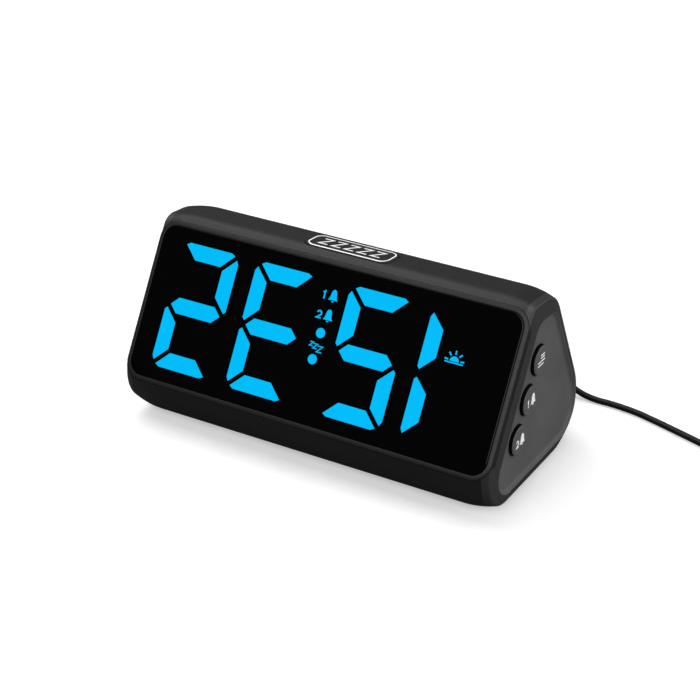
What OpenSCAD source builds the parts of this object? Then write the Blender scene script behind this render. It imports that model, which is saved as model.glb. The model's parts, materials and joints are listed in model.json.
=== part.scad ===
// Wedge-shaped LED alarm clock. Millimetres, +Z up, +X to the viewer's right, +Y to the back.
// The origin is the middle of the footprint, on the surface that the rubber feet stand on.

/* [Window] */
// Width of the tinted window
lens_w = 160; // [150:1:170]
// Height of the tinted window, measured along its slope
lens_h = 62; // [60:0.5:62]
// Corner radius of the window
lens_r = 6; // [5:0.5:7]
// Thickness of the window
lens_t = 2; // [1.8:0.1:2.1]
// Lean of the window, back from vertical, in degrees
face_lean = 31; // [30:0.5:32]

/* [Casing] */
// Overall width of the casing
body_w = 164.4; // [164.4:0.2:166]
// Wall thickness
wall = 2.4; // [2:0.1:2.6]
// Lean of the rear slope, from vertical, in degrees
rear_lean = 27; // [26:0.5:28]
// Slope of the ridge, down towards the back, in degrees
ridge_slope = 6; // [5:0.5:7]
// Length over which the ridge, the rear and the base curve in towards each end
end_blend = 13.4; // [12:0.2:15]
// Thickness of an end cap
cap_t = 3.2; // [3:0.1:3.4]
// Depth of the soft triangular recess in each end cap
recess_depth = 1.3; // [1:0.1:1.4]
// Height of the rubber feet under the casing
foot_h = 1.2; // [1:0.1:1.5]

/* [Buttons] */
// Diameter of the round end buttons
button_d = 12; // [11.6:0.1:12.2]
// How far the end buttons stand out of the end cap
button_proud = 0.4; // [0.3:0.1:0.8]
// Distance between the end buttons' centres
button_pitch = 15.5; // [15.3:0.1:15.8]
// Travel of an end button
button_travel = 0.7; // [0.5:0.1:0.8]
// Width of the snooze pad
snooze_w = 38; // [36:1:40]
// Travel of the snooze pad
snooze_travel = 0.8; // [0.5:0.1:0.9]

/* [Digits] */
// Overall width of a digit
digit_w = 27.5; // [26:0.5:28]
// Overall height of a digit
digit_h = 51; // [50:0.5:51.5]
// Width of one bar of a digit
bar_w = 6.4; // [6:0.1:6.6]
// Gap between neighbouring bars
bar_gap = 1.9; // [1.7:0.1:2.1]

/* [Lead] */
// Diameter of the lead
lead_d = 2.6; // [2.5:0.1:2.7]

/* [Hidden] */
// Gap between moving pieces, and how far a piece is sunk into its neighbour so that the two join
clear = 0.3;
joined = 0.01;
half_w = body_w / 2;

// Casing profile: each side's outward normal and its distance from the window's centre at the ends
side_normals = [
    [-cos(face_lean), sin(face_lean)],
    [sin(ridge_slope), cos(ridge_slope)],
    [cos(rear_lean), sin(rear_lean)],
    [0, -1]
];
side_angles = [180 - face_lean, 90 - ridge_slope, rear_lean, -90];
side_offsets = [-0.5, 30.4, 45.5, 45.2];
// How much further out each side is away from the ends
side_rises = [0, 1.8, 2.8, 2.2];
// Corner radii: window to ridge, ridge to rear, rear to base, base to window
corner_radii = [6.3, 15.4, 19.4, 16.2];
// How far in from the profile's own sides the end recess starts, and its corner radii
recess_insets = [8.6, 7.4, 3, 3.6];
recess_radii = [7, 7, 13, 10];
// The window's centre, from the origin
face_y = -25.4;
face_z = foot_h + side_offsets[3] + side_rises[3];
base_z = foot_h;

// Front bezel
bezel_w = body_w - 1;
bezel_h = lens_h + 3.8;
bezel_depth = 4;
window_w = 144;
window_h = 55;
bezel_post_x = 73.8;
bezel_post_s = 22;
bezel_post_r = 2.2;

// Display stack behind the window, as distances down the window's normal
film_top = lens_t + 0.1;
film_t = 0.3;
block_top = film_top + film_t;
block_t = 6;
board_t = 1.6;
led_board_top = block_top + block_t;
digit_xs = [-56.7, -21.2, 21.2, 56.7];
colon_dots = [4.6, -5.9];
colon_r = 1.95;
// Windows for the small marks: x, place up the slope, width, height
mark_boxes = [[0, 19.5, 8.6, 5.6], [0, 11.7, 8.6, 5.6], [0, -1, 7, 4], [56.8, 9.4, 9, 5.4]];

// End buttons, as distances along the window's slope and down its normal
button_n = 19.6;
button_mid_s = 0.9;
flange_r = button_d / 2 + 1;
flange_t = 1;
side_board_x = 68.4;
side_board_n = button_n + 3.9;
side_board_w = 16.4;
side_board_l = 45.6;
switch_size = 6;
switch_t = 3.5;
// A switch's plunger stands out of its body by more than the travel that presses it
plunger_r = 1.75;
plunger_gap = 0.06;
plunger_out = button_travel + 0.8;
plunger_len = plunger_out + 1.4;
snooze_plunger_out = snooze_travel + 0.7;
snooze_plunger_len = snooze_plunger_out + 2.1;
cap_inner_x = half_w - cap_t;
side_post_n = button_n + 9.6;
side_post_r = 2.2;

// Snooze pad
pad_y0 = 20.8 + face_y;
pad_y1 = 32.2 + face_y;
pad_mid_y = 27 + face_y;
pad_raise = 0.45;
pad_t = 2.2;
stem_x = 12;
stem_r = 2;
bracket_z = 64;
bracket_t = 2;
bracket_y = 23.4 + face_y;
bracket_d = 9.6;
bracket_l = 64;
bracket_post_x = 28;
guide_top = 70;
snooze_board_z = bracket_z + bracket_t;
snooze_board_t = 1.2;
snooze_contact_z = snooze_board_z + snooze_board_t + switch_t + snooze_plunger_out;
spring_r = 2.75;
spring_wire_r = 0.3;
spring_h = 5.8;

// Base plate
plate_x = 65;
plate_y0 = 4 + face_y;
plate_y1 = 43.4 + face_y;
ledge = 4;
ledge_t = 2;
screw_r = 1.3;
screw_head_r = 2.4;
sound_x = -42;
plate_screws = [for (x = [-59, 0, 59], y = [plate_y0 + 3.2, plate_y1 - 3.2]) [x, y]];
foot_xs = [-72.5, 72.5];
foot_ys = [-22.4, 14.6];
foot_r = 4.5;
foot_seat = 0.8;

// Main board
main_board = [84, 26];
main_board_at = [-20, -1.8];
main_board_z = 9;
buzzer_at = [-42, 1];
board_posts = [for (x = [-38, 38], y = [-9.6, 9.6]) [main_board_at[0] + x, main_board_at[1] + y]];

// Backup cell
cell_at = [44, -1.5];
cell_r = 10;
cell_t = 3.2;
lid_r = 10.9;
lug_r = 12.1;
well_r = 12.6;
well_t = 1.4;
well_top = 10.2;
lid_open = 60;

// Lead
exit_x = 44;
exit_z = 14;
relief_len = 15;
relief_y = 39.6;
relief_end = relief_y + relief_len + 1.8;
floor_z = lead_d / 2 + 0.05;
lead_route = [
    [exit_x, relief_end, exit_z], [exit_x + 0.2, 59.6, exit_z], [45.6, 63.3, 13.8], [48, 66.4, 13.1],
    [51.3, 68.5, 11.9], [55.1, 69.3, 10.2], [59.2, 69, 8], [63.5, 68.2, 5.7], [68, 67.4, 3.6],
    [73, 66.9, 2.1], [78.5, 66.8, floor_z], [84.5, 66.8, floor_z], [91, 66.3, floor_z],
    [98, 65.2, floor_z], [107, 62.7, floor_z], [117, 59.6, floor_z], [127, 56.4, floor_z],
    [136, 53.3, floor_z], [144, 51.65, floor_z], [152, 50.9, floor_z]
];
// The lead is wound four turns wide and four high, and its tail leaves beside the coil
coil_at = [152, 70.17];
coil_mean_r = 15.22;
coil_w = 10.8;
coil_h = 10.8;
coil_z = 0.05;
tie_t = 0.6;
tie_w = 4;
tail_x = coil_at[0] + coil_mean_r + 6.85;
tail_y = coil_at[1] + 11;
plug_z = 4.1;
tail_route = [
    [tail_x, coil_at[1] - 3, 5.6], [tail_x, coil_at[1], 5.1], [tail_x, coil_at[1] + 4, 4.5],
    [tail_x, coil_at[1] + 8, plug_z], [tail_x, tail_y + 0.5, plug_z]
];
grip = [14.4, 22, 8];
shell = [12, 12, 4.5];

black = "#26282b";
button_grey = "#2d2f32";

// ---- Shared geometry ----

function meet(n1, d1, n2, d2) =
    let (det = n1[0] * n2[1] - n1[1] * n2[0])
    [(d1 * n2[1] - d2 * n1[1]) / det, (n1[0] * d2 - n2[0] * d1) / det];

function arc(centre, r, a0, a1, steps) =
    [for (i = [0:steps]) let (a = a0 + (a1 - a0) * i / steps) centre + r * [cos(a), sin(a)]];

// How far a station at x has opened out, from 0 at the end face to 1 along the middle
function opened(x) =
    let (f = min(1, (half_w - abs(x)) / end_blend)) 1 - (1 - f) * (1 - f);

function side_at(k, x, inset) = side_offsets[k] + side_rises[k] * opened(x) - inset;

function corner_arc(k, x, inset, steps) =
    let (
        m = (k + 1) % 4,
        r = corner_radii[k] - inset,
        c = meet(side_normals[k], side_at(k, x, inset) - r, side_normals[m], side_at(m, x, inset) - r),
        a1 = k == 3 ? side_angles[0] - 360 : side_angles[m]
    )
    arc(c + [face_y, face_z], r, side_angles[k], a1, steps);

// The casing's side profile as (y, z) points, moved inwards by inset
function profile(x, inset) = [
    each corner_arc(0, x, inset, 5),
    each corner_arc(1, x, inset, 9),
    each corner_arc(2, x, inset, 14),
    each corner_arc(3, x, inset, 14)
];

function rounded(w, h, r, steps = 8) = [
    each arc([w / 2 - r, h / 2 - r], r, 0, 90, steps),
    each arc([r - w / 2, h / 2 - r], r, 90, 180, steps),
    each arc([r - w / 2, r - h / 2], r, 180, 270, steps),
    each arc([w / 2 - r, r - h / 2], r, 270, 360, steps)
];

// A thin slice of the casing at x
module slice(x, inset) {
    translate([x, 0, 0]) rotate([90, 0, 90]) linear_extrude(0.02) polygon(profile(x, inset));
}

// The window's own axes: x across, y up its slope, z out along its normal
module on_face(s = 0, n = 0, x = 0) {
    translate([0, face_y, face_z]) rotate([90 - face_lean, 0, 0]) translate([x, s, -n]) children();
}

// A direction along +X or -X at a button's place on an end
module on_end(side, s, n) {
    on_face(s, n) rotate([0, 90 * side, 0]) children();
}

module outer() {
    hull() {
        for (side = [-1, 1], i = [0:5]) slice(side * (half_w - 0.01 - end_blend * i / 5) - 0.01, 0);
        on_face(0, 0.4) linear_extrude(0.3) polygon(rounded(lens_w + 0.8, lens_h + 3, lens_r + 0.4));
    }
}

module cavity() {
    hull() for (side = [-1, 1], i = [0:3]) slice(side * (cap_inner_x - 10 * i / 3) - 0.01, wall);
}

module end_zone(side) {
    translate([side * (cap_inner_x + 10), 0, 50]) cube([20, 200, 200], center = true);
}

module screw(r, len, head_r, head_t) {
    cylinder(r = r, h = len, $fn = 24);
    translate([0, 0, -head_t]) cylinder(r = head_r, h = head_t, $fn = 32);
}

// ---- Casing ----

module bezel_pocket() {
    on_face(0, bezel_depth + 0.1) linear_extrude(20)
        polygon(rounded(bezel_w + 0.2, bezel_h + 0.2, lens_r + 2));
}

module snooze_hole(extra) {
    translate([0, (pad_y0 + pad_y1) / 2, 60]) linear_extrude(40)
        polygon(rounded(snooze_w + 2 * extra, pad_y1 - pad_y0 + 2 * extra, 3 + extra, 6));
}

module plate_opening(extra) {
    translate([0, (plate_y0 + plate_y1) / 2, -10]) linear_extrude(40)
        polygon(rounded(2 * plate_x + 2 * extra, plate_y1 - plate_y0 + 2 * extra, 5 + extra, 6));
}

module sound_slots() {
    translate([0, face_y, face_z]) rotate([rear_lean, 0, 0])
        for (i = [-3:3]) translate([sound_x + 3.6 * i - 0.8, 40, -12]) cube([1.6, 20, 18]);
}

module bracket_posts() {
    for (side = [-1, 1]) translate([side * bracket_post_x, pad_mid_y, bracket_z + bracket_t])
        cylinder(r = 2.6, h = 11.4, $fn = 32);
}

module main_housing() {
    color(black) difference() {
        union() {
            difference() {
                outer();
                cavity();
                for (side = [-1, 1]) end_zone(side);
            }
            bracket_posts();
            difference() {
                translate([0, 0, base_z + wall - joined]) linear_extrude(ledge_t)
                    translate([0, (plate_y0 + plate_y1) / 2])
                        square([2 * plate_x + 4, plate_y1 - plate_y0 + 4], center = true);
                translate([0, (plate_y0 + plate_y1) / 2, 0]) linear_extrude(20)
                    square([2 * (plate_x - ledge), plate_y1 - plate_y0 - 2 * ledge], center = true);
            }
            for (p = plate_screws) translate([p[0], p[1], base_z + wall])
                cylinder(r = 3, h = 7, $fn = 32);
        }
        bezel_pocket();
        snooze_hole(clear);
        intersection() {
            plate_opening(0.1);
            translate([-100, -100, -1]) cube([200, 200, base_z + wall + 1.1]);
        }
        for (p = plate_screws) translate([p[0], p[1], 0])
            cylinder(r = 1.1, h = base_z + wall + 6, $fn = 24);
        for (side = [-1, 1]) translate([side * bracket_post_x, pad_mid_y, bracket_z])
            cylinder(r = 0.9, h = 9, $fn = 24);
        for (x = foot_xs, y = foot_ys) translate([x, y, 0])
            cylinder(r = foot_r, h = base_z + foot_seat, $fn = 40);
        translate([exit_x, 30, exit_z]) rotate([-90, 0, 0]) cylinder(r = 3.4, h = 20, $fn = 32);
        sound_slots();
    }
}

module front_bezel() {
    color("#303235") difference() {
        union() {
            intersection() {
                outer();
                on_face(0, bezel_depth) linear_extrude(10)
                    polygon(rounded(bezel_w, bezel_h, lens_r + 1.9));
            }
            for (x = [-1, 1], s = [-1, 1])
                on_face(s * bezel_post_s, led_board_top, x * bezel_post_x)
                    cylinder(r = bezel_post_r, h = led_board_top - bezel_depth + 0.5, $fn = 28);
        }
        on_face(0, lens_t) linear_extrude(10) polygon(rounded(lens_w + 0.1, lens_h + 0.1, lens_r));
        on_face(0, 8) linear_extrude(10) polygon(rounded(window_w, window_h, 2));
        for (x = [-1, 1], s = [-1, 1]) on_face(s * bezel_post_s, led_board_top, x * bezel_post_x)
            cylinder(r = 0.9, h = led_board_top - lens_t - 0.6, $fn = 24);
    }
}

// The recess is bounded by the profile's own sides, moved in, with a soft slope to its floor
module end_recess(side) {
    x0 = side * (half_w + 0.01);
    x1 = side * (half_w - recess_depth);
    hull() {
        translate([x0 - 0.01, 0, 0]) rotate([90, 0, 90]) linear_extrude(0.02) polygon(recess_outline(0));
        translate([x1 - 0.01, 0, 0]) rotate([90, 0, 90]) linear_extrude(0.02)
            polygon(recess_outline(1.8));
    }
}

function recess_corner(k, inset, steps) =
    let (
        m = (k + 1) % 4,
        r = recess_radii[k] - inset,
        dk = side_offsets[k] - recess_insets[k] - inset - r,
        dm = side_offsets[m] - recess_insets[m] - inset - r,
        c = meet(side_normals[k], dk, side_normals[m], dm),
        a1 = k == 3 ? side_angles[0] - 360 : side_angles[m]
    )
    arc(c + [face_y, face_z], r, side_angles[k], a1, steps);

function recess_outline(inset) = [for (k = [0:3]) each recess_corner(k, inset, 7)];

module end_cap(side) {
    color(black) difference() {
        union() {
            intersection() {
                outer();
                end_zone(side);
            }
            difference() {
                translate([side * (cap_inner_x - 1.4) - 1.5, 0, 0]) rotate([90, 0, 90])
                    linear_extrude(3) polygon(profile(cap_inner_x, wall + 0.2));
                translate([side * (cap_inner_x - 1.4) - 2, 0, 0]) rotate([90, 0, 90])
                    linear_extrude(4) polygon(profile(cap_inner_x, wall + 1.5));
                on_face(0, bezel_depth + 0.3) translate([-100, -100, 0]) cube([200, 200, 50]);
            }
            for (s = [-1, 1]) on_end(side, button_mid_s + s * button_pitch, side_post_n)
                translate([0, 0, side_board_x + board_t])
                    cylinder(r = side_post_r, h = cap_inner_x - side_board_x - board_t + 0.5, $fn = 28);
        }
        bezel_pocket();
        end_recess(side);
        for (i = [-1:1]) on_end(side, button_mid_s + i * button_pitch, button_n)
            translate([0, 0, 70]) cylinder(r = button_d / 2 + clear, h = 20, $fn = 48);
        for (s = [-1, 1]) on_end(side, button_mid_s + s * button_pitch, side_post_n)
            translate([0, 0, side_board_x]) cylinder(r = 0.9, h = 9, $fn = 24);
    }
}

module end_cap_right() end_cap(1);

module end_cap_left() end_cap(-1);

module base_plate() {
    color(black) difference() {
        union() {
            intersection() {
                plate_opening(0);
                translate([-100, -100, base_z]) cube([200, 200, wall]);
            }
            translate([cell_at[0], cell_at[1], base_z + wall - joined])
                cylinder(r = well_r + well_t, h = well_top - base_z - wall, $fn = 64);
            for (p = board_posts) translate([p[0], p[1], base_z + wall - joined])
                cylinder(r = 2.6, h = main_board_z - base_z - wall + joined, $fn = 28);
        }
        translate([cell_at[0], cell_at[1], 0]) {
            cylinder(r = lid_r + 0.2, h = 20, $fn = 64);
            translate([0, 0, base_z + wall]) cylinder(r = well_r, h = 20, $fn = 64);
            rotate(lid_open) translate([-well_r, -3, 0]) cube([2 * well_r, 6, 6]);
        }
        for (p = plate_screws) translate([p[0], p[1], 0]) {
            cylinder(r = screw_r + 0.1, h = 10, $fn = 24);
            cylinder(r = screw_head_r + 0.2, h = base_z + 1.1, $fn = 32);
        }
        for (p = board_posts) translate([p[0], p[1], base_z + wall]) cylinder(r = 0.9, h = 8, $fn = 24);
    }
}

module rubber_feet() {
    color("#1b1b1c") for (x = foot_xs, y = foot_ys) translate([x, y, 0]) {
        cylinder(r1 = foot_r - 0.5, r2 = foot_r - 0.1, h = 0.5, $fn = 40);
        translate([0, 0, 0.5]) cylinder(r = foot_r - 0.1, h = base_z + foot_seat - 0.5, $fn = 40);
    }
}

module base_screws() {
    color("silver") for (p = plate_screws) translate([p[0], p[1], base_z + 1.1]) difference() {
        screw(screw_r, 6.4, screw_head_r, 0.9);
        translate([-1.6, -0.25, -1.2]) cube([3.2, 0.5, 0.7]);
        translate([-0.25, -1.6, -1.2]) cube([0.5, 3.2, 0.7]);
    }
}

// ---- Display ----

module display_lens() {
    color("#060607") on_face(0, lens_t) linear_extrude(lens_t) polygon(rounded(lens_w, lens_h, lens_r));
}

module diffuser_film() {
    color("white") on_face(0, film_top + film_t) linear_extrude(film_t)
        polygon(rounded(window_w - 1, window_h - 1, 1.5));
}

// Outlines of a digit's bars in its own plane: the base form of the top, the middle and an upright bar.
// Their ends are mitred at 45 degrees, with cut corners outside.
end_cut = bar_gap * sqrt(0.5);
corner_cut = 2.6;
nick = 0.95;
// How far in from the digit's edge the middle bar's mitres cross
middle_in = 0.8;
middle_tip = digit_w / 2 - middle_in - end_cut;
waist = end_cut - middle_in;
dw = digit_w / 2;
dh = digit_h / 2;
top_bar = [
    [-dw + end_cut + corner_cut, dh], [dw - end_cut - corner_cut, dh],
    [dw - end_cut - nick, dh - nick], [dw - bar_w - end_cut, dh - bar_w],
    [-dw + bar_w + end_cut, dh - bar_w], [-dw + end_cut + nick, dh - nick]
];
middle_bar = [
    [-middle_tip, 0], [-middle_tip + bar_w / 2, bar_w / 2], [middle_tip - bar_w / 2, bar_w / 2],
    [middle_tip, 0], [middle_tip - bar_w / 2, -bar_w / 2], [-middle_tip + bar_w / 2, -bar_w / 2]
];
upright_bar = [
    [dw, dh - end_cut - corner_cut], [dw, waist + 2 * nick], [dw - nick, waist + nick],
    [dw - bar_w, waist + bar_w], [dw - bar_w, dh - bar_w - end_cut],
    [dw - nick, dh - end_cut - nick]
];

function flipped(points, across, up) = [for (p = points) [p[0] * across, p[1] * up]];

// The bars in order: top, upper right, lower right, base, lower left, upper left, middle
bars = [
    top_bar, upright_bar, flipped(upright_bar, 1, -1), flipped(top_bar, 1, -1),
    flipped(upright_bar, -1, -1), flipped(upright_bar, -1, 1), middle_bar
];

module reflector_block() {
    color("#e8e8e4") difference() {
        on_face(0, block_top + block_t) linear_extrude(block_t - 0.02)
            polygon(rounded(window_w - 1, window_h - 1, 1.5));
        for (x = digit_xs, bar = bars) on_face(0, block_top + block_t + 1, x)
            linear_extrude(block_t + 2) polygon(bar);
        for (v = colon_dots) on_face(v, block_top + block_t + 1)
            cylinder(r = colon_r, h = block_t + 2, $fn = 32);
        for (m = mark_boxes) on_face(m[1], block_top + block_t + 1, m[0])
            linear_extrude(block_t + 2) square([m[2], m[3]], center = true);
    }
}

// Seven clear light windows, one for each bar of a digit
module digit(k) {
    color("#18b8ff") on_face(0, block_top + block_t, digit_xs[k])
        translate([0, 0, 1.6]) linear_extrude(block_t - 1.7)
            for (bar = bars) offset(delta = -0.08) polygon(bar);
}

module digit_1() digit(0);

module digit_2() digit(1);

module digit_3() digit(2);

module digit_4() digit(3);

module colon_windows() {
    color("#18b8ff") for (v = colon_dots) on_face(v, block_top + block_t)
        translate([0, 0, 1.6]) cylinder(r = colon_r - 0.08, h = block_t - 1.7, $fn = 32);
}

module mark_windows() {
    color("#18b8ff") for (m = mark_boxes) on_face(m[1], block_top + block_t, m[0])
        translate([0, 0, 1.6]) linear_extrude(block_t - 1.7)
            square([m[2] - 0.16, m[3] - 0.16], center = true);
}

module display_board() {
    color("darkgreen") difference() {
        on_face(0, led_board_top + board_t) linear_extrude(board_t)
            polygon(rounded(2 * bezel_post_x + 4.8, window_h, 1.5));
        for (x = [-1, 1], s = [-1, 1]) on_face(s * bezel_post_s, 20, x * bezel_post_x)
            cylinder(r = 1.1, h = 20, $fn = 24);
    }
}

function bar_middles() = let (u = digit_w / 2 - bar_w / 2, v = digit_h / 2 - bar_w / 2)
    [[0, v], [u, v / 2 + 0.4], [u, -v / 2 - 0.4], [0, -v], [-u, -v / 2 - 0.4], [-u, v / 2 + 0.4], [0, 0]];

module led(x, s) {
    on_face(s, led_board_top, x) translate([-1.4, -1.2, 0]) cube([2.8, 2.4, 1.2]);
}

module segment_leds() {
    color("lightyellow") for (x = digit_xs, m = bar_middles())
        led(x + m[0], m[1]);
    color("lightyellow") for (v = colon_dots) led(0, v);
    color("lightyellow") for (m = mark_boxes) led(m[0], m[1]);
}

module display_screws() {
    color("silver") for (x = [-1, 1], s = [-1, 1])
        on_face(s * bezel_post_s, led_board_top + board_t, x * bezel_post_x) screw(1, 5.4, 1.9, 1.2);
}

// ---- Snooze pad ----

// The pad's cross-section above a given inset from the ridge
module pad_section(inset) {
    translate([-50, 0, 0]) rotate([90, 0, 90]) linear_extrude(100) polygon(profile(0, inset));
}

module snooze_pad() {
    color(black) union() {
        difference() {
            intersection() {
                snooze_hole(0);
                pad_section(-pad_raise);
                translate([-50, -50, 73]) cube([100, 100, 20]);
            }
            pad_section(pad_t - pad_raise);
        }
        difference() {
            union() {
                for (x = [-stem_x, stem_x]) translate([x, pad_mid_y, bracket_z - 2])
                    cylinder(r = stem_r, h = 14, $fn = 32);
                translate([0, pad_mid_y, snooze_contact_z]) cylinder(r = 2.2, h = 5, $fn = 32);
                translate([-snooze_w / 2 + 2, pad_y0 + 1.5, 73]) cube([snooze_w - 4, 1.2, 4]);
            }
            difference() {
                translate([-50, -50, 70]) cube([100, 100, 30]);
                pad_section(pad_t - pad_raise - 0.2);
            }
        }
    }
}

module snooze_plunger() {
    color("white") translate([0, pad_mid_y, snooze_contact_z - snooze_plunger_len])
        cylinder(r = plunger_r, h = snooze_plunger_len, $fn = 32);
}

// A round wire swept along a helix, as rings of eight points
function helix_ring(r, pitch, wire_r, a) = [
    for (b = [0:45:315]) let (reach = r + wire_r * cos(b))
        [reach * cos(a), reach * sin(a), wire_r + pitch * a / 360 + wire_r * sin(b)]
];

function ring_faces(rings, sides) = [
    [for (j = [0:sides - 1]) j],
    for (i = [0:rings - 2], j = [0:sides - 1])
        let (a = i * sides, k = (j + 1) % sides)
            [a + j, a + sides + j, a + sides + k, a + k],
    [for (j = [sides - 1:-1:0]) (rings - 1) * sides + j]
];

module spring(r, wire_r, height, turns) {
    steps = 14 * turns;
    pitch = (height - 2 * wire_r) / turns;
    points = [for (i = [0:steps]) each helix_ring(r, pitch, wire_r, 360 * turns * i / steps)];
    polyhedron(points, ring_faces(steps + 1, 8), convexity = 6);
}

module snooze_springs() {
    color("silver") for (x = [-stem_x, stem_x]) translate([x, pad_mid_y, guide_top + 0.05])
        spring(spring_r, spring_wire_r, spring_h, 4);
}

module snooze_bracket() {
    color("#3a3c3f") difference() {
        union() {
            translate([-bracket_l / 2, bracket_y, bracket_z]) cube([bracket_l, bracket_d, bracket_t]);
            for (x = [-stem_x, stem_x]) translate([x, pad_mid_y, bracket_z + bracket_t - joined])
                cylinder(r = 3.2, h = guide_top - bracket_z - bracket_t + joined, $fn = 32);
        }
        for (x = [-stem_x, stem_x]) translate([x, pad_mid_y, 50])
            cylinder(r = stem_r + 0.07, h = 30, $fn = 32);
        for (side = [-1, 1]) translate([side * bracket_post_x, pad_mid_y, 50])
            cylinder(r = 1.1, h = 30, $fn = 24);
    }
}

module snooze_switch() {
    color("#1e3d2a") translate([-7, pad_mid_y - 3.4, snooze_board_z])
        cube([14, 6.8, snooze_board_t]);
    color("#3a3c3f") difference() {
        translate([-switch_size / 2, pad_mid_y - switch_size / 2, snooze_board_z + snooze_board_t])
            cube([switch_size, switch_size, switch_t]);
        translate([0, pad_mid_y, snooze_board_z + snooze_board_t + 0.5])
            cylinder(r = plunger_r + plunger_gap, h = 10, $fn = 32);
    }
}

module bracket_screws() {
    color("silver") for (side = [-1, 1]) translate([side * bracket_post_x, pad_mid_y, bracket_z])
        screw(1, 7.5, 1.9, 1.2);
}

// ---- End buttons ----

// A round cap with a retaining flange inside the end cap and a stem to its switch
module end_button(side, i) {
    face = half_w + button_proud;
    switch_top = side_board_x + board_t + switch_t;
    color(button_grey) on_end(side, button_mid_s + i * button_pitch, button_n) {
        translate([0, 0, cap_inner_x - clear - flange_t]) {
            cylinder(r = flange_r, h = flange_t, $fn = 40);
            cylinder(r = button_d / 2, h = face - 0.5 - cap_inner_x + clear + flange_t, $fn = 48);
        }
        translate([0, 0, face - 0.5])
            cylinder(r1 = button_d / 2, r2 = button_d / 2 - 0.5, h = 0.5, $fn = 48);
        translate([0, 0, switch_top + plunger_out])
            cylinder(r = 2, h = cap_inner_x - switch_top - plunger_out, $fn = 28);
    }
}

module button_menu() end_button(1, 1);

module button_alarm_1() end_button(1, 0);

module button_alarm_2() end_button(1, -1);

module button_up() end_button(-1, 1);

module button_down() end_button(-1, 0);

module button_dimmer() end_button(-1, -1);

module end_plunger(side, i) {
    color("white") on_end(side, button_mid_s + i * button_pitch, button_n)
        translate([0, 0, side_board_x + board_t + switch_t + plunger_out - plunger_len])
            cylinder(r = plunger_r, h = plunger_len, $fn = 32);
}

module plunger_menu() end_plunger(1, 1);

module plunger_alarm_1() end_plunger(1, 0);

module plunger_alarm_2() end_plunger(1, -1);

module plunger_up() end_plunger(-1, 1);

module plunger_down() end_plunger(-1, 0);

module plunger_dimmer() end_plunger(-1, -1);

module side_board(side) {
    color("darkgreen") difference() {
        on_end(side, button_mid_s, side_board_n) translate([0, 0, side_board_x + board_t / 2])
            cube([side_board_w, side_board_l, board_t], center = true);
        for (s = [-1, 1]) on_end(side, button_mid_s + s * button_pitch, side_post_n)
            cylinder(r = 1.1, h = 100, $fn = 24);
    }
}

module side_board_right() side_board(1);

module side_board_left() side_board(-1);

module side_switches(side) {
    color("#3a3c3f") for (i = [-1:1]) on_end(side, button_mid_s + i * button_pitch, button_n)
        translate([0, 0, side_board_x + board_t]) difference() {
            translate([-switch_size / 2, -switch_size / 2, 0]) cube([switch_size, switch_size, switch_t]);
            translate([0, 0, 1]) cylinder(r = plunger_r + plunger_gap, h = 10, $fn = 32);
        }
}

module side_switches_right() side_switches(1);

module side_switches_left() side_switches(-1);

module side_board_screws() {
    color("silver") for (side = [-1, 1], s = [-1, 1])
        on_end(side, button_mid_s + s * button_pitch, side_post_n) translate([0, 0, side_board_x])
            screw(1, 7, 1.9, 1.2);
}

// ---- Electronics on the base plate ----

module main_board() {
    color("darkgreen") difference() {
        translate([main_board_at[0], main_board_at[1], main_board_z + board_t / 2])
            cube([main_board[0], main_board[1], board_t], center = true);
        for (p = board_posts) translate([p[0], p[1], 0]) cylinder(r = 1.1, h = 20, $fn = 24);
    }
}

module control_chip() {
    color("#1a1a1a") translate([main_board_at[0] - 5, main_board_at[1] - 5, main_board_z + board_t])
        cube([10, 10, 1.8]);
}

module crystal() {
    color("silver") translate([main_board_at[0] + 10, main_board_at[1] - 3, main_board_z + board_t + 1.5])
        rotate([-90, 0, 0]) cylinder(r = 1.5, h = 7, $fn = 28);
}

module reservoir_capacitor() {
    color("#2b3a55") translate([main_board_at[0] + 26, main_board_at[1] - 4, main_board_z + board_t])
        cylinder(r = 4, h = 11, $fn = 40);
}

module buzzer() {
    color("#1c1c1c") translate([buzzer_at[0], buzzer_at[1], main_board_z + board_t]) difference() {
        cylinder(r = 6, h = 8, $fn = 48);
        translate([0, 0, 5]) cylinder(r = 1.2, h = 5, $fn = 24);
    }
}

// Flat cable from the foot of the display board down to the main board
module ribbon_cable() {
    low = main_board_z + board_t;
    color("#8a8d90") translate([-8, 0, 0]) rotate([90, 0, 90]) linear_extrude(12) polygon([
        [-13.9, low + 3.1], [-13.3, low + 3.1], [-13, 19], [-15.4, 25.8], [-20.8, 30.2], [-21.1, 29.7],
        [-15.9, 25.4], [-13.6, 18.9]
    ]);
}

module ribbon_sockets() {
    color("ivory") {
        translate([-9, -14.7, main_board_z + board_t]) cube([14, 4, 3]);
        on_face(-14, led_board_top + board_t + 3, -2) translate([-7, -2.5, 0.02]) cube([14, 5, 2.98]);
    }
}

module board_screws() {
    color("silver") for (p = board_posts) translate([p[0], p[1], main_board_z + board_t])
        mirror([0, 0, 1]) screw(1, 6, 1.9, 1.2);
}

module coin_cell() {
    color("silver") translate([cell_at[0], cell_at[1], base_z + wall + 1.8]) {
        cylinder(r = cell_r, h = cell_t - 0.8, $fn = 64);
        cylinder(r = cell_r - 1.2, h = cell_t, $fn = 64);
    }
}

module cell_clip() {
    top = base_z + wall + 1.8 + cell_t;
    color("gold") {
        translate([cell_at[0] - 3, cell_at[1] - well_r - well_t, well_top])
            cube([6, 2 * (well_r + well_t), 0.5]);
        translate([cell_at[0] - 2, cell_at[1] - 2, top]) cube([4, 4, well_top - top]);
    }
}

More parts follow.
